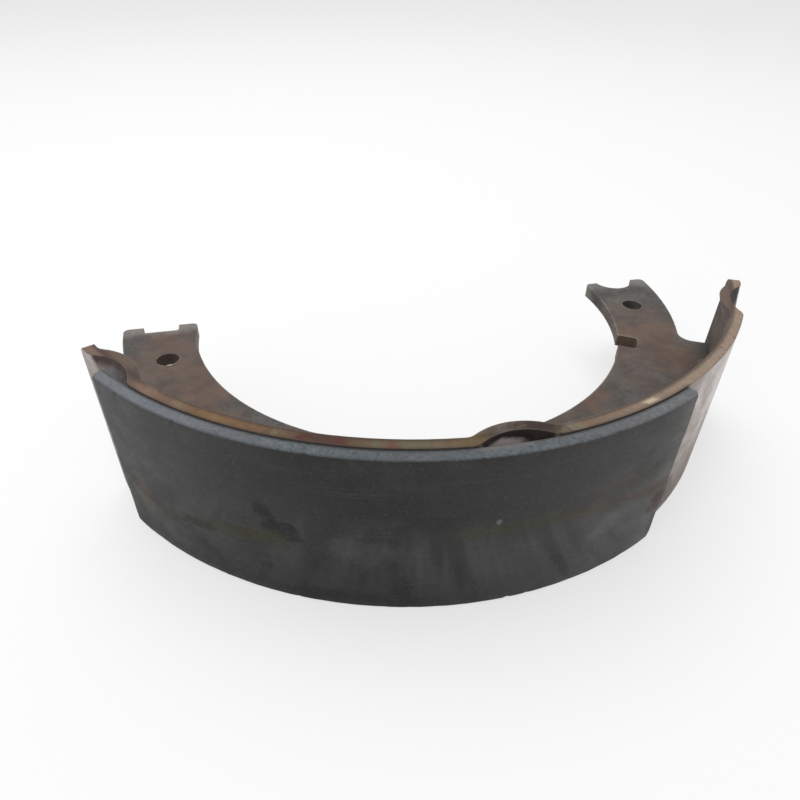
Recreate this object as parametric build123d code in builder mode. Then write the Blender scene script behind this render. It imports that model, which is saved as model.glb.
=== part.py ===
from build123d import *
import os
from math import atan, cos, degrees, hypot, radians, sin

os.makedirs("parts", exist_ok=True)

# Sizes in millimetres, angles in degrees.
# The shoe stands on one rim edge: z = 0 is that edge and the drum axis is vertical.
# Angles round the drum axis are counted from the crown, which faces -Y; +X is positive.

# The drum the shoe fits
drum_radius = 127.0
shoe_width = 57.0

# Friction lining, bonded nearer one end of the table
lining_thickness = 4.0
lining_start_angle = -55.6
lining_end_angle = 25.6
lining_edge_inset = 0.3
lining_end_chamfer = 1.0

# Rolled steel table
table_thickness = 3.5
table_half_angle = 63.25
table_corner_radius = 3.0

# Nibs: places where the table's edge is pressed inward, and thinned a little, to ride on the backing plate
nib_spacing_angle = 55.2
nib_depth = 4.5
nib_wall = 3.0
nib_reach = 11.0
nib_bend_radius = 17.0
nib_outer_blend = 4.0
nib_inner_blend = 3.0

# Crescent web, welded along the middle of the table
web_thickness = 4.8
web_crown_depth = 27.6
web_end_depth = 27.5
web_ear_drop = 10.1
web_end_setback = 2.0
web_corner_radius = 2.0
web_shoulder_blend = 5.0
web_shoulder_margin = 1.5

# Ends of the web
anchor_pin_radius = 8.4
adjuster_seat_width = 13.0
adjuster_seat_depth = 4.0
adjuster_seat_blend = 1.0

# Notch for the handbrake strut, cut from the web's inner edge
strut_notch_angle = 57.0
strut_notch_width = 8.0
strut_notch_depth = 7.0
strut_notch_blend = 1.0

# Holes through the web
hold_down_hole_radius = 5.0
return_spring_hole_radius = 4.0
return_spring_hole_angle = 76.0
adjuster_spring_hole_radius = 4.0
adjuster_spring_hole_angle = -74.0

# Swellings left by the welds between web and table
weld_count = 8
weld_pitch_angle = 15.5
weld_swell_radius = 4.4

# Sizes that follow from the ones above
table_outer_radius = drum_radius - lining_thickness
table_inner_radius = table_outer_radius - table_thickness
half_width = shoe_width / 2
nib_tilt = degrees(atan(nib_depth / nib_reach))
nib_axis_radius = table_outer_radius - nib_depth + nib_bend_radius / cos(radians(nib_tilt))
nib_tool_length = 2 * shoe_width
nib_zone_depth = nib_reach + table_thickness
nib_angles = [-nib_spacing_angle, 0, nib_spacing_angle]
web_table_angle = table_half_angle - web_shoulder_margin
web_ear_radius = table_inner_radius - web_ear_drop
web_crown_inner = table_inner_radius - web_crown_depth
web_end_inner = web_ear_radius - web_end_depth
web_crown_middle = (table_inner_radius + web_crown_inner) / 2
web_end_middle = (web_ear_radius + web_end_inner) / 2
web_end_y = -web_end_setback
match_tolerance = 0.01
# The web's inner edge is one round through its depth at the crown and at both ends.
web_inner_centre_drop = (web_crown_inner**2 - web_end_inner**2) / (2 * web_crown_inner)
web_inner_radius = web_crown_inner - web_inner_centre_drop
strut_notch_drop = web_inner_centre_drop * cos(radians(strut_notch_angle))
strut_notch_offset = web_inner_centre_drop * sin(radians(strut_notch_angle))
strut_notch_mouth = strut_notch_drop + (web_inner_radius**2 - strut_notch_offset**2) ** 0.5
weld_angles = [(index - (weld_count - 1) / 2) * weld_pitch_angle for index in range(weld_count)]
lining_half_width = half_width - lining_edge_inset

# The origin is under the middle of the shoe's outline, so the drum axis lies behind it.
drum_axis_y = (drum_radius + web_end_setback) / 2
mid_width = Plane(origin=(0, drum_axis_y, half_width))


def ring_sector(inner_radius, outer_radius, start_angle, end_angle):
    """Flat piece of a ring round the drum axis, its angles counted from the crown."""
    sweep = end_angle - start_angle
    with BuildSketch() as sector:
        with BuildLine():
            outer_arc = CenterArc((0, 0), outer_radius, start_angle - 90, sweep)
            inner_arc = CenterArc((0, 0), inner_radius, start_angle - 90, sweep)
            Line(outer_arc @ 0, inner_arc @ 0)
            Line(outer_arc @ 1, inner_arc @ 1)
        make_face()
    return sector.sketch


def from_crown(angle, distance, height=0.0):
    """Place at an angle from the crown and a distance from the drum axis, facing outward."""
    return Location((0, 0, 0), (0, 0, angle)) * Location((0, -distance, height))


def axis_distance(point):
    """How far a point in the row frame lies from the drum axis."""
    return hypot(point.X, point.Y - drum_axis_y)


def is_nib_crease(edge, radius):
    """True for a nib's border, which starts and ends on the rim's edge at a radius from the axis."""
    starts_on_rim = abs((edge @ 0).Z - shoe_width) < match_tolerance
    ends_on_rim = abs((edge @ 1).Z - shoe_width) < match_tolerance
    return starts_on_rim and ends_on_rim and abs(axis_distance(edge @ 0) - radius) < match_tolerance


nib_places = [from_crown(angle, nib_axis_radius, half_width) for angle in nib_angles]

# Metal pushed inward behind each nib: slanting rounds that run out below the edge
with BuildPart() as nib_bulges:
    with Locations(nib_places):
        Cylinder(nib_bend_radius + nib_wall, nib_tool_length, rotation=(-nib_tilt, 0, 0))
    with Locations((0, 0, half_width)):
        Cylinder(
            table_outer_radius,
            nib_zone_depth,
            align=(Align.CENTER, Align.CENTER, Align.MAX),
            mode=Mode.INTERSECT,
        )

# One half of the table's width with its nibs, mirrored about the middle
with BuildPart(mid_width) as shoe_table:
    with BuildSketch(mid_width):
        add(ring_sector(table_inner_radius, table_outer_radius, -table_half_angle, table_half_angle))
    extrude(amount=half_width)
    add(nib_bulges.part)
    with Locations(nib_places):
        Cylinder(
            nib_bend_radius,
            nib_tool_length,
            rotation=(-nib_tilt, 0, 0),
            mode=Mode.SUBTRACT,
        )
    nib_edges = shoe_table.edges().filter_by(GeomType.BSPLINE)
    fillet(nib_edges.filter_by(lambda e: is_nib_crease(e, table_outer_radius)), nib_outer_blend)
    nib_edges = shoe_table.edges().filter_by(GeomType.BSPLINE)
    fillet(nib_edges.filter_by(lambda e: is_nib_crease(e, table_inner_radius)), nib_inner_blend)
    end_corners = shoe_table.edges().filter_by(Plane.XY).filter_by(GeomType.LINE).group_by(Axis.Z)[-1]
    fillet(end_corners, table_corner_radius)
    mirror(about=mid_width)
shoe_table.part.label = "shoe_table"
export_step(shoe_table.part, "parts/shoe_table.step")

# Outline of the web: a crescent that fits the table, with a lower ear at each end
with BuildSketch() as web_outline:
    Circle(web_ear_radius)
    add(ring_sector(web_inner_radius, table_inner_radius, -web_table_angle, web_table_angle))
    with Locations((0, web_end_y)):
        Rectangle(
            2 * drum_radius,
            drum_radius,
            align=(Align.CENTER, Align.MAX),
            mode=Mode.INTERSECT,
        )
    with Locations((0, -web_inner_centre_drop)):
        Circle(web_inner_radius, mode=Mode.SUBTRACT)
    fillet(web_outline.vertices().group_by(Axis.Y)[-1], web_corner_radius)
    fillet(web_outline.vertices().group_by(Axis.Y)[1], web_shoulder_blend)
    # Half-round seat for the anchor pin and square seat for the adjuster
    with Locations((web_end_middle, 0)):
        Circle(anchor_pin_radius, mode=Mode.SUBTRACT)
    with Locations((-web_end_middle, web_end_y)):
        RectangleRounded(
            adjuster_seat_width,
            2 * adjuster_seat_depth,
            adjuster_seat_blend,
            mode=Mode.SUBTRACT,
        )
    with Locations(from_crown(strut_notch_angle, strut_notch_mouth)):
        RectangleRounded(
            strut_notch_width,
            2 * strut_notch_depth,
            strut_notch_blend,
            mode=Mode.SUBTRACT,
        )
    with Locations(from_crown(0, web_crown_middle)):
        Circle(hold_down_hole_radius, mode=Mode.SUBTRACT)
    with Locations(from_crown(return_spring_hole_angle, web_end_middle)):
        Circle(return_spring_hole_radius, mode=Mode.SUBTRACT)
    with Locations(from_crown(adjuster_spring_hole_angle, web_end_middle)):
        Circle(adjuster_spring_hole_radius, mode=Mode.SUBTRACT)

# Swellings where the web's edge is welded to the table, standing out of both faces of the web
with BuildPart() as weld_swells:
    with Locations([from_crown(angle, table_inner_radius) for angle in weld_angles]):
        Sphere(weld_swell_radius)
    Cylinder(table_inner_radius, shoe_width, mode=Mode.INTERSECT)

with BuildPart(mid_width) as shoe_web:
    with BuildSketch(mid_width):
        add(web_outline.sketch)
    extrude(amount=web_thickness / 2, both=True)
    add(weld_swells.part)
shoe_web.part.label = "shoe_web"
export_step(shoe_web.part, "parts/shoe_web.step")

# Lining, bonded to the outside of the table
with BuildPart(mid_width) as friction_lining:
    with BuildSketch(mid_width):
        add(ring_sector(table_outer_radius, drum_radius, lining_start_angle, lining_end_angle))
    extrude(amount=lining_half_width, both=True)
    end_edges = friction_lining.edges().filter_by(Axis.Z)
    working_edges = end_edges.filter_by(lambda e: axis_distance(e @ 0) > drum_radius - match_tolerance)
    chamfer(working_edges, lining_end_chamfer)
friction_lining.part.label = "friction_lining"
export_step(friction_lining.part, "parts/friction_lining.step")
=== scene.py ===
import math

import bmesh
import bpy
from mathutils import Matrix, Vector, noise


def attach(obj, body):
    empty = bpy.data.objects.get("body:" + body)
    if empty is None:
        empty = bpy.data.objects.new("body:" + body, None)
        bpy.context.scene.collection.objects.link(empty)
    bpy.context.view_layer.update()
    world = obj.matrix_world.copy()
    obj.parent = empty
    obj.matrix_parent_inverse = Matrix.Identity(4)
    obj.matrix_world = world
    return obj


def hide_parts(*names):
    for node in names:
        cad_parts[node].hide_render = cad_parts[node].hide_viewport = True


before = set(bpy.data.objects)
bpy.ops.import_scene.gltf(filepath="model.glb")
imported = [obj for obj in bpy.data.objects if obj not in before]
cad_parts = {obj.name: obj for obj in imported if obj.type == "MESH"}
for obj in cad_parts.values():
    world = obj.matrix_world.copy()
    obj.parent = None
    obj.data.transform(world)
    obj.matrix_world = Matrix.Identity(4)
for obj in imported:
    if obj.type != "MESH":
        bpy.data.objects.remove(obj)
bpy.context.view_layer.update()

# Sizes of the shoe in metres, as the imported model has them
AXIS_Y = 0.0645
MID_Z = 0.0285
DRUM_R = 0.127
TABLE_R = 0.123
LINING_START = math.radians(-55.6)
LINING_END = math.radians(25.6)
LINING_LOW = 0.0003
LINING_HIGH = 0.0567
MM = 1000.0
# Millimetres of drum face to a degree
ARC_MM = DRUM_R * MM * math.pi / 180.0


# ---------------------------------------------------------------- shader helpers
# Borders of marks and bands: how far noise pushes them, and where they fade out and are full
MARK_RAGGED, MARK_OUT, MARK_FULL = 5.0, 1.7, 0.1
BAND_RAGGED, BAND_OUT, BAND_FULL = 3.2, 1.35, 0.25
# Cosine between the true and the rounded normal where edge wear starts and where it is full
WEAR_STARTS, WEAR_FULL = 0.995, 0.90
BEVEL_SAMPLES = 6


class Nodes:
    """Short ways to add and join the shader nodes of one material.

    Masks are written in the shoe's own measures: phi is the angle from the crown in degrees, h the
    height over mid-width in mm and r the distance from the drum axis in mm.
    """

    def __init__(self, name):
        self.mat = bpy.data.materials.new(name)
        self.mat.use_nodes = True
        self.tree = self.mat.node_tree
        self.tree.nodes.clear()
        self.bsdf = self.add("ShaderNodeBsdfPrincipled")
        self.join(self.bsdf.outputs[0], self.add("ShaderNodeOutputMaterial").inputs[0])
        coords = self.add("ShaderNodeTexCoord")
        self.place = coords.outputs["Object"]
        split = self.add("ShaderNodeSeparateXYZ")
        self.join(self.place, split.inputs[0])
        self.x = split.outputs[0]
        self.y = self.math("SUBTRACT", split.outputs[1], AXIS_Y)
        square = self.math("ADD", self.math("POWER", self.x, 2.0), self.math("POWER", self.y, 2.0))
        self.r = self.math("MULTIPLY", self.math("SQRT", square), MM)
        self.h = self.math("MULTIPLY", self.math("SUBTRACT", split.outputs[2], MID_Z), MM)
        angle = self.math("ARCTAN2", self.x, self.math("MULTIPLY", self.y, -1.0))
        self.phi = self.math("MULTIPLY", angle, 180.0 / math.pi)
        # Height over mid-width to either side
        self.off_mid = self.math("ABSOLUTE", self.h)
        # The drum's face rolled out flat: mm along it, mm up it and mm from the axis
        self.around = self.vector(self.math("MULTIPLY", self.phi, ARC_MM), self.h, self.r)
        # The normal's share away from the drum axis times the radius in metres: above 0 on outer
        # faces, below 0 on inner ones, near 0 on rims and ends
        away = self.add("ShaderNodeVectorMath")
        away.operation = "DOT_PRODUCT"
        self.join(coords.outputs["Normal"], away.inputs[0])
        self.join(self.vector(self.x, self.y, 0.0), away.inputs[1])
        self.outward = away.outputs["Value"]

    def add(self, kind):
        return self.tree.nodes.new(kind)

    def join(self, a, b):
        self.tree.links.new(a, b)

    def put(self, value, socket):
        if isinstance(value, (int, float)):
            socket.default_value = value
        elif isinstance(value, tuple):
            socket.default_value = (*value, 1.0)
        else:
            self.join(value, socket)

    def vector(self, x, y, z):
        n = self.add("ShaderNodeCombineXYZ")
        for value, socket in zip((x, y, z), n.inputs):
            self.put(value, socket)
        return n.outputs[0]

    def math(self, op, a, b=0.0):
        n = self.add("ShaderNodeMath")
        n.operation = op
        self.put(a, n.inputs[0])
        self.put(b, n.inputs[1])
        return n.outputs[0]

    def times(self, *values):
        product = values[0]
        for value in values[1:]:
            product = self.math("MULTIPLY", product, value)
        return product

    def plus(self, a, b):
        return self.math("ADD", a, b)

    def most(self, a, b):
        return self.math("MAXIMUM", a, b)

    def away_from(self, value, centre):
        """How far a value lies from a centre, to either side."""
        return self.math("ABSOLUTE", self.math("SUBTRACT", value, centre))

    def spread(self, value, reach):
        """A noise value brought round 0 and stretched to a reach."""
        return self.times(self.math("SUBTRACT", value, 0.5), reach)

    def ramp(self, value, low, high, out_low=0.0, out_high=1.0):
        n = self.add("ShaderNodeMapRange")
        n.interpolation_type = "SMOOTHSTEP"
        n.clamp = True
        self.put(value, n.inputs["Value"])
        n.inputs["From Min"].default_value = low
        n.inputs["From Max"].default_value = high
        n.inputs["To Min"].default_value = out_low
        n.inputs["To Max"].default_value = out_high
        return n.outputs["Result"]

    def noise(self, vector, scale, detail=4.0, rough=0.55, shift=(0.0, 0.0, 0.0)):
        m = self.add("ShaderNodeMapping")
        self.join(vector, m.inputs[0])
        m.inputs["Location"].default_value = shift
        m.inputs["Scale"].default_value = scale if isinstance(scale, tuple) else (scale, scale, scale)
        n = self.add("ShaderNodeTexNoise")
        self.join(m.outputs[0], n.inputs["Vector"])
        n.inputs["Scale"].default_value = 1.0
        n.inputs["Detail"].default_value = detail
        n.inputs["Roughness"].default_value = rough
        return n.outputs["Fac"]

    def mix(self, fac, a, b):
        n = self.add("ShaderNodeMix")
        n.data_type = "RGBA"
        n.blend_type = "MIX"
        n.clamp_factor = True
        # Inputs 6 and 7 and output 2 are the colour ones
        self.put(fac, n.inputs[0])
        self.put(a, n.inputs[6])
        self.put(b, n.inputs[7])
        return n.outputs[2]

    def tint(self, tone, colour, *masks):
        """The tone taken towards a colour by the product of the masks."""
        return self.mix(self.times(*masks), tone, colour)

    def mark(self, phi, h, wide, tall, lean=0.0, ragged=1.0):
        """1 inside a ragged stain at an angle (deg) and height (mm), its half sizes in mm."""
        across = self.math("MULTIPLY", self.math("SUBTRACT", self.phi, phi), ARC_MM)
        upward = self.math("SUBTRACT", self.h, h)
        across = self.math("SUBTRACT", across, self.times(upward, lean))
        a = self.math("POWER", self.math("DIVIDE", across, wide), 2.0)
        b = self.math("POWER", self.math("DIVIDE", upward, tall), 2.0)
        broad = self.noise(self.around, 0.22, detail=5.0, rough=0.62, shift=(phi, h, 0.0))
        warp = self.spread(broad, MARK_RAGGED * ragged)
        return self.ramp(self.plus(self.plus(a, b), warp), MARK_OUT, MARK_FULL)

    def band(self, phi, wide, ragged):
        """1 inside a stretch of the rim round an angle, with a ragged, soft border."""
        away = self.plus(self.away_from(self.phi, phi), self.spread(ragged, BAND_RAGGED * wide))
        return self.ramp(away, BAND_OUT * wide, BAND_FULL * wide)

    def edge_wear(self, width):
        """1 along the sharp edges of the piece, where rubbing shows, and the normal rounded there."""
        rounded = self.add("ShaderNodeBevel")
        rounded.samples = BEVEL_SAMPLES
        rounded.inputs["Radius"].default_value = width
        flat = self.add("ShaderNodeNewGeometry").outputs["Normal"]
        n = self.add("ShaderNodeVectorMath")
        n.operation = "DOT_PRODUCT"
        self.join(rounded.outputs[0], n.inputs[0])
        self.join(flat, n.inputs[1])
        return self.ramp(n.outputs["Value"], WEAR_STARTS, WEAR_FULL), rounded.outputs[0]

    def bump(self, height, distance, strength, below=None):
        n = self.add("ShaderNodeBump")
        n.inputs["Strength"].default_value = strength
        n.inputs["Distance"].default_value = distance
        self.join(height, n.inputs["Height"])
        if below is not None:
            self.join(below, n.inputs["Normal"])
        return n.outputs[0]

    def finish(self, colour, rough, normal, metal=0.0, gloss=0.5):
        self.put(colour, self.bsdf.inputs["Base Color"])
        self.put(rough, self.bsdf.inputs["Roughness"])
        self.put(metal, self.bsdf.inputs["Metallic"])
        self.bsdf.inputs["Specular IOR Level"].default_value = gloss
        self.join(normal, self.bsdf.inputs["Normal"])
        return self.mat


# ---------------------------------------------------------------- colours, linear
# Friction composite: its rubbed face, and where it is paler or darker
COAL = (0.014, 0.014, 0.0138)
# Paler tones towards the face's ends: painted sheen
PAINTED_SHEEN_LEFT = (0.088, 0.088, 0.086)
PAINTED_SHEEN_RIGHT = (0.082, 0.081, 0.079)
PAINTED_SHEEN_END = (0.165, 0.160, 0.150)
CLOUD = (0.060, 0.060, 0.058)
CLOUD_COOL = (0.070, 0.071, 0.070)
WIPED = (0.115, 0.117, 0.118)
SMEAR = (0.010, 0.010, 0.010)
LOW_RIGHT = (0.130, 0.130, 0.127)
LOW_LEFT = (0.016, 0.016, 0.015)
LOW_EDGE = (0.008, 0.008, 0.008)
SCUFF = (0.10, 0.10, 0.098)
FLECK_PALE = (0.16, 0.155, 0.145)
FLECK_DARK = (0.010, 0.010, 0.010)
GRAIN_DARK = (0.012, 0.012, 0.012)
CHIP = (0.24, 0.24, 0.23)
# Its stains
OLIVE = (0.031, 0.030, 0.014)
TIDE_OLIVE = (0.046, 0.044, 0.021)
HAZE = (0.135, 0.138, 0.142)
BROWN = (0.080, 0.050, 0.034)
UMBER = (0.052, 0.031, 0.024)
SOOT = (0.006, 0.006, 0.006)
# Its side faces
SLATE = (0.078, 0.091, 0.101)
SLATE_PALE = (0.115, 0.131, 0.144)
SLATE_CLOUD = (0.070, 0.076, 0.082)
SLATE_LEFT = (0.152, 0.162, 0.183)
SLATE_RIGHT = (0.163, 0.158, 0.162)
JOINT_DIRT = (0.050, 0.047, 0.047)
NIB_DUST = (0.165, 0.148, 0.150)
OUTER_BORDER = (0.044, 0.048, 0.050)
# Adhesive
GLUE_DARK = (0.016, 0.013, 0.011)
GLUE_BROWN = (0.045, 0.032, 0.024)
# Rim of the table
RIM_LEFT = (0.100, 0.062, 0.032)
RIM_RIGHT = (0.275, 0.204, 0.156)
RIM_LEFT_TIP = (0.190, 0.128, 0.104)
RIM_SPECK = (0.040, 0.022, 0.013)
RIM_RED = (0.165, 0.085, 0.050)
RIM_YELLOW = (0.225, 0.190, 0.120)
RIM_RAGGED = (0.062, 0.032, 0.022)
# Painted highlight on the rim
RIM_GLINT = (0.480, 0.430, 0.290)
# Painted shade on the rim's inner half
RIM_INNER_SHADE = (0.042, 0.025, 0.017)
RIM_COVERED = (0.050, 0.036, 0.030)
RIM_NIB = (0.120, 0.085, 0.066)
# Steel, rust and dust of the table, with painted shade, a painted highlight and a painted reflection
STEEL = (0.42, 0.382, 0.368)
STEEL_BRIGHT = (0.54, 0.505, 0.490)
RUST = (0.095, 0.050, 0.030)
RUST_TAN = (0.235, 0.150, 0.100)
DEEP_RUST = (0.030, 0.014, 0.010)
DEEP_RUST_RED = (0.080, 0.034, 0.022)
# Brake dust inside the table, darkened by painted shade
DUST_AND_SHADE = (0.028, 0.025, 0.023)
PALE_DUST_AND_SHADE = (0.066, 0.058, 0.050)
# Painted reflection on the bare end's upper part
BARE_REFLECTION = (0.82, 0.765, 0.75)
BARE_DULL = (0.125, 0.100, 0.085)
# Hollows behind the nibs: brown of rust with painted shade, and near-black painted shade
HOLLOW_RUST_AND_SHADE = (0.085, 0.055, 0.048)
HOLLOW_CROWN_SHADE = (0.009, 0.004, 0.004)
HOLLOW_RIGHT_SHADE = (0.012, 0.007, 0.006)
# Painted highlight on the wall of the crown's hollow
HOLLOW_HIGHLIGHT = (0.46, 0.39, 0.39)
HOLLOW_BLUE = (0.125, 0.128, 0.145)
# Painted shadow line under the rim of the left hollow
HOLLOW_SHADOW_LINE = (0.030, 0.013, 0.011)
STEP_DARK = (0.034, 0.026, 0.022)
EDGE_RUBBED = (0.34, 0.29, 0.25)
# Web: its rust and dust darkened by painted shade
WEB_RUST_AND_SHADE = (0.045, 0.024, 0.016)
WEB_RUST_TAN = (0.110, 0.064, 0.041)
WEB_DUST_AND_SHADE = (0.026, 0.023, 0.021)
WEB_PALE_DUST_AND_SHADE = (0.062, 0.055, 0.048)
WEB_STEEL = (0.22, 0.205, 0.19)
WEB_STEEL_BRIGHT = (0.34, 0.32, 0.30)
WEB_TAN = (0.135, 0.092, 0.065)
WEB_CORNER = (0.020, 0.014, 0.011)


# ---------------------------------------------------------------- materials
def lining_material():
    """Worn friction composite: charcoal, paler at its ends with painted sheen, streaked below, with a few
    stains.
    """
    n = Nodes("worn_lining")
    phi, h, r = n.phi, n.h, n.r
    broad = n.noise(n.around, (0.025, 0.04, 0.03), detail=3.0)
    patch = n.noise(n.around, (0.10, 0.12, 0.10), detail=5.0, rough=0.6, shift=(7.0, 3.0, 0.0))
    grain = n.noise(n.around, 0.9, detail=6.0, rough=0.7)
    fleck = n.noise(n.around, 1.5, detail=3.0, rough=0.6, shift=(2.0, 9.0, 4.0))
    scuff = n.noise(n.around, (0.035, 0.8, 0.1), detail=4.0, rough=0.6, shift=(4.0, 2.0, 0.0))
    # Wiped streaks that fan out towards the lower edge from a line left of the crown
    fan = n.times(n.plus(phi, 13.0), 0.022, h)
    leaning = n.vector(n.plus(n.times(phi, ARC_MM), fan), h, r)
    streak = n.noise(leaning, (0.15, 0.014, 0.05), detail=2.6, rough=0.58, shift=(1.0, 5.0, 0.0))

    # Darkest left of the crown and paler towards both ends, where the sheen of the grazing face is painted in
    tone = n.mix(n.ramp(phi, -20.0, -56.0, 0.0, 0.60), COAL, PAINTED_SHEEN_LEFT)
    tone = n.mix(n.ramp(phi, -14.0, 24.0, 0.0, 0.62), tone, PAINTED_SHEEN_RIGHT)
    tone = n.mix(n.ramp(phi, 20.5, 25.0, 0.0, 0.60), tone, PAINTED_SHEEN_END)
    # Cloudy patches
    tone = n.mix(n.ramp(broad, 0.30, 0.70, 0.0, 0.175), tone, CLOUD)
    tone = n.mix(n.ramp(patch, 0.42, 0.70, 0.0, 0.30), tone, CLOUD_COOL)
    # Pale and dark streaks over the lower half
    low = n.ramp(n.plus(h, n.spread(streak, -26.0)), 6.0, -9.0)
    tone = n.tint(tone, WIPED, low, n.ramp(h, -24.0, -10.0, 0.30, 1.0), n.ramp(streak, 0.40, 0.62, 0.0, 0.31))
    tone = n.tint(tone, SMEAR, n.ramp(h, -2.0, -22.0, 0.25, 1.0), low, n.ramp(streak, 0.46, 0.32, 0.0, 0.80))
    # Lower right paler, lower left and lower edge darker
    tone = n.tint(tone, LOW_RIGHT, n.ramp(phi, 4.0, 17.0, 0.0, 0.34), n.ramp(h, 8.0, -6.0))
    tone = n.tint(tone, LOW_LEFT, n.ramp(phi, -8.0, -24.0, 0.0, 0.50), n.ramp(h, 6.0, -8.0))
    tone = n.tint(tone, LOW_EDGE, n.ramp(h, -20.0, -26.0), n.ramp(phi, 4.0, -8.0), 0.45)
    # Long fine scuffs
    tone = n.mix(n.ramp(scuff, 0.56, 0.76, 0.0, 0.14), tone, SCUFF)

    # Tide line left by damp, olive to brown, that bows across the face
    sag = n.ramp(phi, -5.0, 10.0, 0.0063, 0.0135)
    bow = n.times(n.math("POWER", n.math("SUBTRACT", phi, 2.0), 2.0), sag)
    off = n.plus(n.away_from(n.plus(h, bow), 2.6), n.spread(patch, 5.0))
    seen = n.most(n.ramp(phi, -9.0, -4.0), n.ramp(phi, -25.0, -29.0))
    tide = n.mix(n.ramp(phi, 4.0, 16.0), TIDE_OLIVE, BROWN)
    tone = n.tint(tone, tide, n.ramp(off, 3.4, 0.2), seen, 0.60)
    # Stains: colour, angle, height, half width, half height, lean and strength
    for colour, angle, height, wide, tall, lean, share in (
        (SOOT, -13.0, -21.0, 2.6, 8.0, 0.0, 0.75),
        (SOOT, -31.0, -20.0, 1.8, 6.0, 0.35, 0.50),
        (SOOT, -21.0, -25.0, 22.0, 3.0, 0.0, 0.55),
        (SOOT, 7.6, -18.0, 1.8, 8.0, -0.55, 0.45),
        (SOOT, -42.0, -17.0, 9.0, 6.0, 0.4, 0.45),
        (OLIVE, -35.5, -5.8, 13.0, 2.8, 2.2, 0.75),
        (SOOT, -29.8, 5.4, 2.4, 3.6, -0.3, 0.92),
        (SOOT, -27.6, -0.6, 5.0, 3.6, -0.5, 0.90),
        (SOOT, -40.2, -8.9, 6.0, 2.4, 1.2, 0.90),
        (OLIVE, -29.0, -4.5, 5.0, 3.6, 0.0, 0.50),
        (BROWN, 23.2, -4.5, 4.6, 5.0, -0.4, 0.75),
        (UMBER, 23.9, -10.0, 3.8, 5.0, 0.0, 0.90),
        (UMBER, 24.8, -20.0, 2.0, 5.0, 0.0, 0.50),
        (HAZE, 14.0, -7.5, 5.5, 4.5, 0.5, 0.35),
        (HAZE, -18.0, -4.5, 9.0, 6.0, 0.0, 0.16),
        (BROWN, 15.0, 8.0, 9.0, 3.0, -1.0, 0.30),
        (BROWN, -50.0, -8.0, 4.0, 6.0, 0.0, 0.40),
    ):
        tone = n.tint(tone, colour, n.mark(angle, height, wide, tall, lean), share)
    # One small pale chip mark
    tone = n.tint(tone, CHIP, n.mark(-2.0, 5.4, 0.8, 1.0, ragged=0.25), 0.45)

    # The two flat side faces are paler and bluer than the rubbed working face
    side = n.ramp(n.off_mid, 27.75, 28.05)
    flat = n.mix(n.ramp(grain, 0.35, 0.68), SLATE, SLATE_PALE)
    flat = n.mix(n.ramp(broad, 0.42, 0.62, 0.0, 0.5), flat, SLATE_CLOUD)
    flat = n.mix(n.ramp(phi, -22.0, -40.0, 0.0, 0.70), flat, SLATE_LEFT)
    flat = n.mix(n.ramp(phi, 3.0, 18.0, 0.0, 0.55), flat, SLATE_RIGHT)
    # Dirt along the joint, pinkish dust under the crown's nib and a darker outer border
    flat = n.mix(n.ramp(r, 124.3, 123.25, 0.0, 0.7), flat, JOINT_DIRT)
    at_nib = n.ramp(n.away_from(phi, -1.8), 4.5, 2.0)
    flat = n.tint(flat, NIB_DUST, at_nib, n.ramp(r, 125.2, 123.6), 0.65)
    flat = n.tint(flat, OUTER_BORDER, n.ramp(r, 125.9, 126.9), n.ramp(phi, 4.0, -12.0, 0.25, 0.60))
    tone = n.mix(side, tone, flat)

    # Pale and dark flecks of the composite, and the grain between them
    tone = n.mix(n.ramp(fleck, 0.60, 0.72, 0.0, 0.26), tone, FLECK_PALE)
    tone = n.mix(n.ramp(fleck, 0.40, 0.28, 0.0, 0.50), tone, FLECK_DARK)
    tone = n.mix(n.ramp(grain, 0.30, 0.70, 0.30, 0.0), tone, GRAIN_DARK)

    rough = n.ramp(patch, 0.3, 0.7, 0.50, 0.68)
    normal = n.bump(grain, distance=0.00022, strength=0.55)
    normal = n.bump(scuff, distance=0.00010, strength=0.35, below=normal)
    normal = n.bump(fleck, distance=0.00010, strength=0.5, below=normal)
    return n.finish(tone, rough, normal, gloss=0.24)


def bond_material():
    """Dark adhesive film squeezed to the edge of the joint."""
    n = Nodes("bond_film")
    lumps = n.noise(n.around, 0.5)
    tone = n.mix(n.ramp(lumps, 0.35, 0.7), GLUE_DARK, GLUE_BROWN)
    rough = n.ramp(lumps, 0.3, 0.7, 0.55, 0.70)
    return n.finish(tone, rough, n.bump(lumps, distance=0.0002, strength=0.5))


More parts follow.
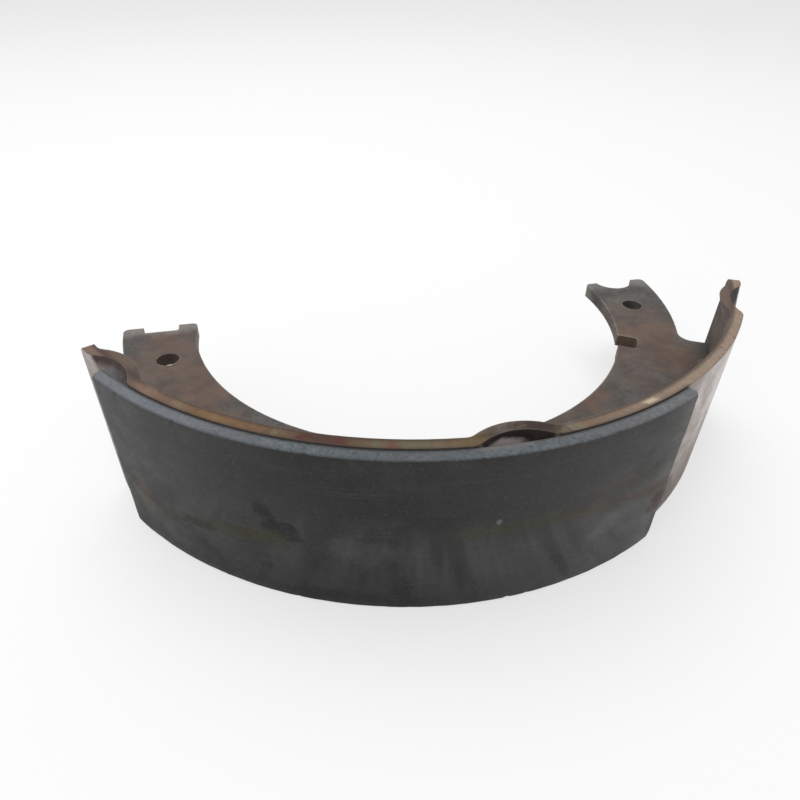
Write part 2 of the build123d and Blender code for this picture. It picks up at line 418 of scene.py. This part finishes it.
def rim_tone(n, speck, covered):
    """Sheared rim of the table: tan, with redder, darker and paler stretches along it, a painted glint and
    painted shade towards the inside.
    """
    phi, r = n.phi, n.r
    run = n.noise(n.around, (0.10, 0.02, 0.05), detail=4.0, rough=0.6, shift=(11.0, 0.0, 0.0))
    ragged = n.noise(n.around, (0.45, 0.45, 0.60), detail=5.0, rough=0.65, shift=(4.0, 1.0, 6.0))
    rim = n.mix(n.ramp(phi, -8.0, 32.0), RIM_LEFT, RIM_RIGHT)
    rim = n.mix(n.ramp(phi, -36.0, -56.0, 0.0, 0.65), rim, RIM_LEFT_TIP)
    rim = n.mix(n.ramp(speck, 0.34, 0.70, 0.225, 0.0), rim, RIM_SPECK)
    rim = n.mix(n.ramp(run, 0.52, 0.68, 0.0, 0.60), rim, RIM_RED)
    rim = n.mix(n.ramp(run, 0.44, 0.32, 0.0, 0.40), rim, RIM_YELLOW)
    rim = n.mix(n.ramp(ragged, 0.56, 0.70, 0.0, 0.45), rim, RIM_RAGGED)

    def stretches(rim, bands):
        for angle, wide, colour, share in bands:
            rim = n.tint(rim, colour, n.band(angle, wide, ragged), share)
        return rim

    # Stretches along the rim: angle, half width in degrees, colour and strength
    rim = stretches(rim, (
        (-36.0, 5.0, (0.205, 0.110, 0.042), 0.45),
        (-22.3, 3.6, (0.042, 0.018, 0.013), 0.85),
        (-24.7, 1.1, (0.060, 0.014, 0.009), 0.80),
        (-20.6, 1.1, (0.066, 0.014, 0.009), 0.75),
        (-12.5, 5.0, (0.100, 0.096, 0.060), 0.78),
        (-14.5, 0.8, (0.110, 0.038, 0.026), 0.80),
        (-44.0, 3.0, (0.150, 0.085, 0.055), 0.50),
        (6.5, 2.0, (0.230, 0.185, 0.110), 0.55),
    ))
    # A painted highlight: a pale glint in the middle of the edge's thickness
    middle = n.ramp(n.away_from(r, 121.5), 1.5, 0.1)
    rim = n.tint(rim, RIM_GLINT, n.band(19.0, 1.2, ragged), middle, 0.80)
    # Painted shade towards the inside, darker beside the lining, browner where the nibs stand inward
    rim = n.mix(n.ramp(r, 121.1, 119.5, 0.0, 0.85), rim, RIM_INNER_SHADE)
    rim = n.tint(rim, RIM_COVERED, covered, 0.50)
    rim = n.mix(n.ramp(r, 119.3, 117.5, 0.0, 0.65), rim, RIM_NIB)
    # Round the nibs the rim is dark in places and golden or pinkish beside them
    return stretches(rim, (
        (-51.5, 1.8, (0.045, 0.030, 0.024), 0.60),
        (-46.8, 1.8, (0.245, 0.140, 0.112), 0.30),
        (-5.2, 2.0, (0.112, 0.084, 0.036), 0.50),
        (-2.7, 0.8, (0.050, 0.038, 0.030), 0.55),
        (-1.3, 0.9, (0.100, 0.092, 0.072), 0.50),
        (2.9, 3.7, (0.022, 0.012, 0.010), 0.90),
        (6.9, 1.2, (0.135, 0.118, 0.116), 0.30),
    ))


def table_material():
    """Rolled steel that has rusted thinly: silver where rubbed, with a painted reflection at the bare end,
    tan and brown elsewhere, and painted shade in the hollows and inside.
    """
    n = Nodes("table_steel")
    phi, h, r = n.phi, n.h, n.r
    broad = n.noise(n.place, 24.0, detail=4.0, rough=0.6)
    patch = n.noise(n.place, 85.0, detail=5.0, rough=0.62, shift=(3.0, 1.0, 2.0))
    speck = n.noise(n.place, 420.0, detail=5.0, rough=0.65)
    pits = n.noise(n.place, 1500.0, detail=3.0, rough=0.6)
    roll = n.noise(n.around, (0.02, 1.6, 0.2), detail=4.0, rough=0.6)

    steel = n.mix(n.ramp(roll, 0.35, 0.68), STEEL, STEEL_BRIGHT)
    rust = n.mix(n.ramp(speck, 0.35, 0.66), RUST, RUST_TAN)
    deep = n.mix(n.ramp(speck, 0.4, 0.65), DEEP_RUST, DEEP_RUST_RED)
    dust_and_shade = n.mix(n.ramp(patch, 0.35, 0.65), DUST_AND_SHADE, PALE_DUST_AND_SHADE)

    # The outside is thinly rusted; the inside carries more rust and a coat of brake dust, darkened further by
    # painted shade
    inner = n.ramp(n.outward, 0.010, -0.010)
    outer_rust = n.ramp(n.plus(n.times(broad, 0.6), n.times(patch, 0.5)), 0.46, 0.72, 0.04, 0.60)
    amount = n.most(outer_rust, n.times(inner, n.ramp(patch, 0.34, 0.60, 0.45, 1.0)))
    tone = n.mix(amount, steel, rust)
    tone = n.tint(tone, dust_and_shade, inner, n.ramp(broad, 0.35, 0.65, 0.45, 0.9))

    # The bare end is bare steel with a painted reflection near its upper edge, and duller near the lower one
    bare = n.times(n.ramp(phi, 27.0, 33.0), n.ramp(inner, 0.6, 0.2))
    clean_and_reflection = n.times(bare, n.ramp(h, -12.0, 7.0))
    tone = n.tint(tone, BARE_REFLECTION, clean_and_reflection, n.ramp(patch, 0.30, 0.60, 0.80, 0.50))
    tone = n.tint(tone, BARE_DULL, bare, n.ramp(h, -9.0, -25.0, 0.0, 0.40))

    # Pressed hollows behind the nibs: brown of dirt and rust with painted shade, near black with painted
    # shade at the crown and the right
    hollow = n.times(n.ramp(n.off_mid, 19.0, 25.0), n.ramp(r, 122.75, 121.9))
    hollow = n.times(hollow, n.ramp(n.outward, 0.005, 0.025))
    at_crown = n.ramp(n.math("ABSOLUTE", phi), 7.5, 5.5)
    at_right = n.ramp(phi, 47.0, 52.0)
    at_left_top = n.times(n.ramp(phi, -48.0, -51.0), n.ramp(h, 25.2, 27.2))
    tone = n.tint(tone, HOLLOW_RUST_AND_SHADE, hollow, n.ramp(speck, 0.3, 0.6, 0.55, 0.85))
    tone = n.tint(tone, HOLLOW_CROWN_SHADE, hollow, at_crown, n.ramp(patch, 0.3, 0.6, 0.85, 0.98))
    tone = n.tint(tone, HOLLOW_RIGHT_SHADE, hollow, at_right, 0.85)
    # A painted highlight in the crown's hollow, a grey-blue patch on the left and a painted shadow line under
    # the rim over that
    tone = n.tint(tone, HOLLOW_HIGHLIGHT, hollow, n.mark(-1.8, 24.8, 8.0, 2.0, ragged=0.4), 0.90)
    tone = n.tint(tone, HOLLOW_BLUE, hollow, n.mark(-54.0, 23.6, 9.0, 3.6, ragged=0.5), 0.65)
    tone = n.tint(tone, HOLLOW_SHADOW_LINE, hollow, at_left_top, 0.80)

    # Rim edges; beside the lining their outer border is darker
    edge = n.ramp(n.off_mid, 28.25, 28.42)
    beside = n.times(n.ramp(phi, 26.6, 25.4), n.ramp(phi, -57.0, -56.0))
    covered = n.times(n.ramp(r, 121.9, 122.8), beside)
    tone = n.mix(edge, tone, rim_tone(n, speck, covered))

    # Darker in the narrow step between the lining's edge and the rim
    step = n.times(covered, n.ramp(n.outward, 0.05, 0.09), n.ramp(n.off_mid, 27.5, 27.9))
    tone = n.tint(tone, STEP_DARK, step, 0.92)

    # Rust stain where the lining stops, low on the bare end, a thin one above it and specks
    tone = n.tint(tone, deep, n.mark(29.0, -19.0, 8.0, 8.5, lean=-0.2, ragged=0.6), 0.80)
    tone = n.tint(tone, rust, n.mark(33.5, 10.0, 6.0, 14.0), 0.35)
    tone = n.mix(n.ramp(speck, 0.62, 0.74, 0.0, 0.5), tone, deep)
    # Sharp edges rubbed brighter
    sharp, rounded = n.edge_wear(0.0006)
    rubbed = n.ramp(patch, 0.36, 0.60, 0.15, 0.85)
    tone = n.tint(tone, EDGE_RUBBED, sharp, rubbed, n.ramp(covered, 0.0, 1.0, 0.40, 0.0))

    # Thin rust and dirt take the shine away everywhere but on the rubbed part of the bare end
    shine = n.times(clean_and_reflection, n.ramp(n.most(hollow, edge), 1.0, 0.0), n.ramp(amount, 0.50, 0.10))
    dullness = n.math("SUBTRACT", n.times(speck, 0.6), n.times(shine, 0.14))
    rough = n.ramp(dullness, -0.125, 0.325, 0.30, 0.74)
    normal = n.bump(speck, distance=0.00022, strength=0.55, below=rounded)
    normal = n.bump(pits, distance=0.00006, strength=0.5, below=normal)
    normal = n.bump(roll, distance=0.00008, strength=0.35, below=normal)
    return n.finish(tone, rough, normal, metal=n.times(shine, 0.45), gloss=0.28)


def web_material():
    """Web plate: dark with brake dust over thin rust, darkened further by painted shade, brighter where ends
    and holes are rubbed.
    """
    n = Nodes("web_steel")
    broad = n.noise(n.place, 28.0, detail=4.0, rough=0.6, shift=(5.0, 2.0, 1.0))
    patch = n.noise(n.place, 110.0, detail=5.0, rough=0.62)
    speck = n.noise(n.place, 620.0, detail=5.0, rough=0.65)
    # Rust and dust tones, darkened by painted shade
    blend = n.plus(n.times(speck, 0.45), n.times(patch, 0.55))
    rust = n.mix(n.ramp(blend, 0.36, 0.66), WEB_RUST_AND_SHADE, WEB_RUST_TAN)
    dust_and_shade = n.mix(n.ramp(patch, 0.35, 0.65), WEB_DUST_AND_SHADE, WEB_PALE_DUST_AND_SHADE)
    steel = n.mix(n.ramp(speck, 0.3, 0.7), WEB_STEEL, WEB_STEEL_BRIGHT)
    tone = n.mix(n.ramp(broad, 0.38, 0.62), rust, dust_and_shade)
    tone = n.mix(n.ramp(patch, 0.62, 0.74, 0.0, 0.35), tone, WEB_TAN)
    # Darker in the corner against the table
    tone = n.mix(n.ramp(n.r, 113.0, 118.5, 0.0, 0.70), tone, WEB_CORNER)
    # The ends are rubbed bright by the anchor pin and the adjuster, and sharp edges by handling
    ends = n.ramp(n.plus(n.y, n.times(patch, 0.012)), -0.006, 0.004, 0.0, 0.55)
    sharp, rounded = n.edge_wear(0.0008)
    bright = n.most(ends, n.times(sharp, n.ramp(patch, 0.36, 0.60, 0.25, 0.95)))
    tone = n.tint(tone, steel, bright, 0.8)
    rough = n.ramp(n.math("SUBTRACT", speck, n.times(bright, 0.3)), 0.1, 0.7, 0.36, 0.76)
    normal = n.bump(speck, distance=0.00025, strength=0.6, below=rounded)
    return n.finish(tone, rough, normal, metal=n.times(bright, 0.5))


# ---------------------------------------------------------------- pieces in mesh code
# Adhesive film: thickness, how far it stops short of the lining's edges (m) and ends (radians),
# and how unevenly it does
FILM = 0.00022
FILM_INSET = 0.0001
FILM_END_ANGLE = 0.0006
FILM_SHORT, FILM_SHORT_MORE = 0.00015, 0.00025
# How finely the blocks are cut: along the round, up the face, over the sides and round a corner
LINING_STEPS = 300
FILM_STEPS = 220
FACE_STEPS = 26
SIDE_STEPS = 4
CORNER_STEPS = 4
# Distances from the lining's ends, in mm, where it is cut more closely
EASING_MM = (0.0, 0.12, 0.3, 0.5, 0.75, 1.0, 1.25)
# Radius of the lining's worn corners, and the width of the strip along them that has chips
CORNER_R = 0.0005
EDGE_WIDTH = 0.0012
# Wear of that strip in metres: even, uneven and by chips, first towards the axis, then downward
RUB_IN, UNEVEN_IN, CHIP_IN = 0.00008, 0.00007, 0.0011
RUB_DOWN, UNEVEN_DOWN, CHIP_DOWN = 0.00006, 0.00008, 0.0007
# The chamfer of the ends: depth, length, how far its border wanders and how large its crumbs are
END_DROP = 0.0010
END_LENGTH, END_WANDER, CRUMB_SIZE = 0.0011, 0.0003, 0.0012
# Noise level above which a chip or a crumb is missing
CHIP_LEVEL = 0.32
CRUMB_LEVEL = 0.25


def at(phi, r, z):
    return Vector((r * math.sin(phi), AXIS_Y - r * math.cos(phi), z))


def stations(start, end, steps):
    """Angles from start to end, with a few closer ones at each end for the eased corners."""
    easing = [v / (DRUM_R * MM) for v in EASING_MM]
    inside = [start + easing[-1] + (end - start - 2 * easing[-1]) * i / steps for i in range(1, steps)]
    return [start + v for v in easing] + inside + [end - v for v in reversed(easing)]


def swept_block(name, angles, section, wobble, smooth):
    """Closed block: a ring of (r, z) points carried round the drum axis through the angles."""
    bm = bmesh.new()
    rings = [[bm.verts.new(at(phi, *wobble(phi, r, z))) for r, z in section] for phi in angles]
    count = len(section)
    for a, b in zip(rings, rings[1:]):
        for k in range(count):
            bm.faces.new((a[k], a[(k + 1) % count], b[(k + 1) % count], b[k]))
    bm.faces.new(rings[0][::-1])
    bm.faces.new(rings[-1])
    bmesh.ops.recalc_face_normals(bm, faces=bm.faces)
    mesh = bpy.data.meshes.new(name)
    bm.to_mesh(mesh)
    bm.free()
    for p in mesh.polygons:
        p.use_smooth = smooth
    obj = bpy.data.objects.new(name, mesh)
    bpy.context.scene.collection.objects.link(obj)
    return obj


def rounded_section(r_in, r_out, low, high, radius):
    """Cross-section of the lining: its two working corners are worn round."""
    turns = [math.radians(90.0 * k / CORNER_STEPS) for k in range(CORNER_STEPS + 1)]
    flank = r_out - radius - r_in
    points = [(r_in + flank * k / SIDE_STEPS, low) for k in range(SIDE_STEPS)]
    for a in turns:
        points.append((r_out - radius + radius * math.sin(a), low + radius - radius * math.cos(a)))
    for k in range(1, FACE_STEPS):
        points.append((r_out, low + radius + (high - low - 2 * radius) * k / FACE_STEPS))
    for a in turns:
        points.append((r_out - radius + radius * math.cos(a), high - radius + radius * math.sin(a)))
    for k in range(SIDE_STEPS):
        points.append((r_out - radius - flank * (k + 1) / SIDE_STEPS, high))
    return points


def make_lining():
    """The friction block with rubbed corners, small chips along its edges and eased ends."""
    section = rounded_section(TABLE_R + FILM, DRUM_R, LINING_LOW, LINING_HIGH, CORNER_R)

    def wobble(phi, r, z):
        s = phi * DRUM_R * MM
        upper = z > MID_Z
        depth = (r - TABLE_R) / (DRUM_R - TABLE_R)
        edge = max(0.0, 1.0 - min(z - LINING_LOW, LINING_HIGH - z) / EDGE_WIDTH)
        rough = noise.fractal(Vector((s * 0.16, z * 300.0, 3.0)), 1.0, 2.0, 4)
        chip = max(0.0, noise.noise(Vector((s * 0.33, 7.0 if upper else 1.0, 0.0))) - CHIP_LEVEL)
        r -= edge * depth * (RUB_IN + UNEVEN_IN * rough + CHIP_IN * chip)
        inward = -1.0 if upper else 1.0
        z += inward * edge * depth * max(0.0, RUB_DOWN + UNEVEN_DOWN * rough + CHIP_DOWN * chip)
        # Ends eased by a chamfer whose border wanders and has lost a few crumbs
        end = min(phi - LINING_START, LINING_END - phi) * DRUM_R
        crumb = max(0.0, noise.noise(Vector((z * 210.0, 9.0, 2.0 if phi > 0 else 6.0))) - CRUMB_LEVEL)
        wander = noise.noise(Vector((z * 120.0, 5.0, 1.0)))
        worn = END_LENGTH + END_WANDER * wander + CRUMB_SIZE * crumb
        r -= max(0.0, 1.0 - end / worn) * END_DROP * max(0.0, depth * 4.0 - 3.0)
        return r, z

    angles = stations(LINING_START, LINING_END, LINING_STEPS)
    return swept_block("lining_block", angles, section, wobble, True)


def make_bond():
    """Adhesive film between table and lining, a little short of the edges and uneven there."""
    low, high, top = LINING_LOW + FILM_INSET, LINING_HIGH - FILM_INSET, TABLE_R + FILM
    section = [(TABLE_R, low), (top, low), (top, high), (TABLE_R, high)]

    def wobble(phi, r, z):
        s = phi * TABLE_R * MM
        upper = z > MID_Z
        gap = max(0.0, noise.noise(Vector((s * 0.4, 2.0 if upper else 8.0, 1.0))))
        short = FILM_SHORT + FILM_SHORT_MORE * gap
        return r, (z - short if upper else z + short)

    angles = stations(LINING_START + FILM_END_ANGLE, LINING_END - FILM_END_ANGLE, FILM_STEPS)
    return swept_block("bond_film", angles, section, wobble, False)


lining = make_lining()
lining.data.materials.append(lining_material())
bond = make_bond()
bond.data.materials.append(bond_material())
for piece in (lining, bond):
    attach(piece, "root")
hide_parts("friction_lining")


def dress(node, material):
    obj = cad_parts[node]
    obj.data.materials.clear()
    obj.data.materials.append(material)
    for p in obj.data.polygons:
        p.material_index = 0


dress("shoe_table", table_material())
dress("shoe_web", web_material())


# ---------------------------------------------------------------- floor, light and camera
def seen_directly(tree):
    """1 for rays from the camera, mirrored ones and ones let through; 0 for all other light."""
    path = tree.nodes.new("ShaderNodeLightPath")
    seen = path.outputs["Is Camera Ray"]
    for kind in ("Is Glossy Ray", "Is Transmission Ray"):
        either = tree.nodes.new("ShaderNodeMath")
        either.operation = "MAXIMUM"
        tree.links.new(seen, either.inputs[0])
        tree.links.new(path.outputs[kind], either.inputs[1])
        seen = either.outputs[0]
    return seen


def mixed(tree, fac, first, second, target):
    """Mix of two shaders led to a target socket."""
    blend = tree.nodes.new("ShaderNodeMixShader")
    tree.links.new(fac, blend.inputs[0])
    tree.links.new(first.outputs[0], blend.inputs[1])
    tree.links.new(second.outputs[0], blend.inputs[2])
    tree.links.new(blend.outputs[0], target)


# Pale floor that takes shadows and looks nearly white
FLOOR_REACH = 6.0
FLOOR_GLOW_SHARE = 0.6
corners = [(x * FLOOR_REACH, y * FLOOR_REACH, 0) for x, y in ((-1, -1), (1, -1), (1, 1), (-1, 1))]
floor_mesh = bpy.data.meshes.new("floor")
floor_mesh.from_pydata(corners, [], [(0, 1, 2, 3)])
floor = bpy.data.objects.new("floor", floor_mesh)
bpy.context.scene.collection.objects.link(floor)
floor_mat = bpy.data.materials.new("floor")
floor_mat.use_nodes = True
ft = floor_mat.node_tree
ground = ft.nodes["Principled BSDF"]
ground.inputs["Base Color"].default_value = (0.84, 0.84, 0.84, 1.0)
ground.inputs["Roughness"].default_value = 0.95
ground.inputs["Specular IOR Level"].default_value = 0.1
glow = ft.nodes.new("ShaderNodeEmission")
glow.inputs["Strength"].default_value = 1.0
part = ft.nodes.new("ShaderNodeMath")
part.operation = "MULTIPLY"
part.inputs[1].default_value = FLOOR_GLOW_SHARE
ft.links.new(seen_directly(ft), part.inputs[0])
mixed(ft, part.outputs[0], ground, glow, ft.nodes["Material Output"].inputs[0])
floor.data.materials.append(floor_mat)

# White world: soft light on the shoe, nearly full white where it is seen directly
WHITE = (1.0, 1.0, 1.0, 1.0)
world = bpy.data.worlds.new("studio")
bpy.context.scene.world = world
world.use_nodes = True
wt = world.node_tree
wt.nodes.clear()
skies = []
for strength in (0.55, 0.97):
    sky = wt.nodes.new("ShaderNodeBackground")
    sky.inputs[0].default_value = WHITE
    sky.inputs[1].default_value = strength
    skies.append(sky)
mixed(wt, seen_directly(wt), skies[0], skies[1], wt.nodes.new("ShaderNodeOutputWorld").inputs[0])


def lamp(name, place, aim, size, power):
    data = bpy.data.lights.new(name, "AREA")
    data.shape = "SQUARE"
    data.size = size
    data.energy = power
    obj = bpy.data.objects.new(name, data)
    obj.location = place
    obj.rotation_euler = (Vector(aim) - Vector(place)).to_track_quat("-Z", "Y").to_euler()
    bpy.context.scene.collection.objects.link(obj)


lamp("overhead", (-0.1, 0.30, 1.1), (0.0, 0.0, 0.0), 1.0, 9.0)
lamp("front_left", (-0.9, -0.9, 0.7), (0.0, 0.0, 0.03), 0.9, 4.0)

# Camera: its focal length in pixels of an 800-pixel frame, its place, and its turn, tip and roll
CAMERA_FOCUS = 631.0
FRAME_PIXELS = 800.0
SENSOR_MM = 36.0
CAMERA_PLACE = (-0.05598, -0.16368, 0.15567)
CAMERA_TURN, CAMERA_TIP, CAMERA_ROLL = (math.radians(v) for v in (-13.76, -36.96, -1.00))
cam_data = bpy.data.cameras.new("camera")
cam_data.sensor_width = SENSOR_MM
cam_data.lens = CAMERA_FOCUS / FRAME_PIXELS * SENSOR_MM
cam_data.clip_start = 0.01
cam = bpy.data.objects.new("camera", cam_data)
turned = Matrix.Rotation(CAMERA_TURN, 4, "Z") @ Matrix.Rotation(CAMERA_TIP, 4, "X")
level = Matrix.Rotation(CAMERA_ROLL, 4, "Y") @ Matrix.Rotation(math.radians(90.0), 4, "X")
cam.matrix_world = Matrix.Translation(CAMERA_PLACE) @ turned @ level
bpy.context.scene.collection.objects.link(cam)
bpy.context.scene.camera = cam
bpy.context.scene.view_settings.view_transform = "Standard"
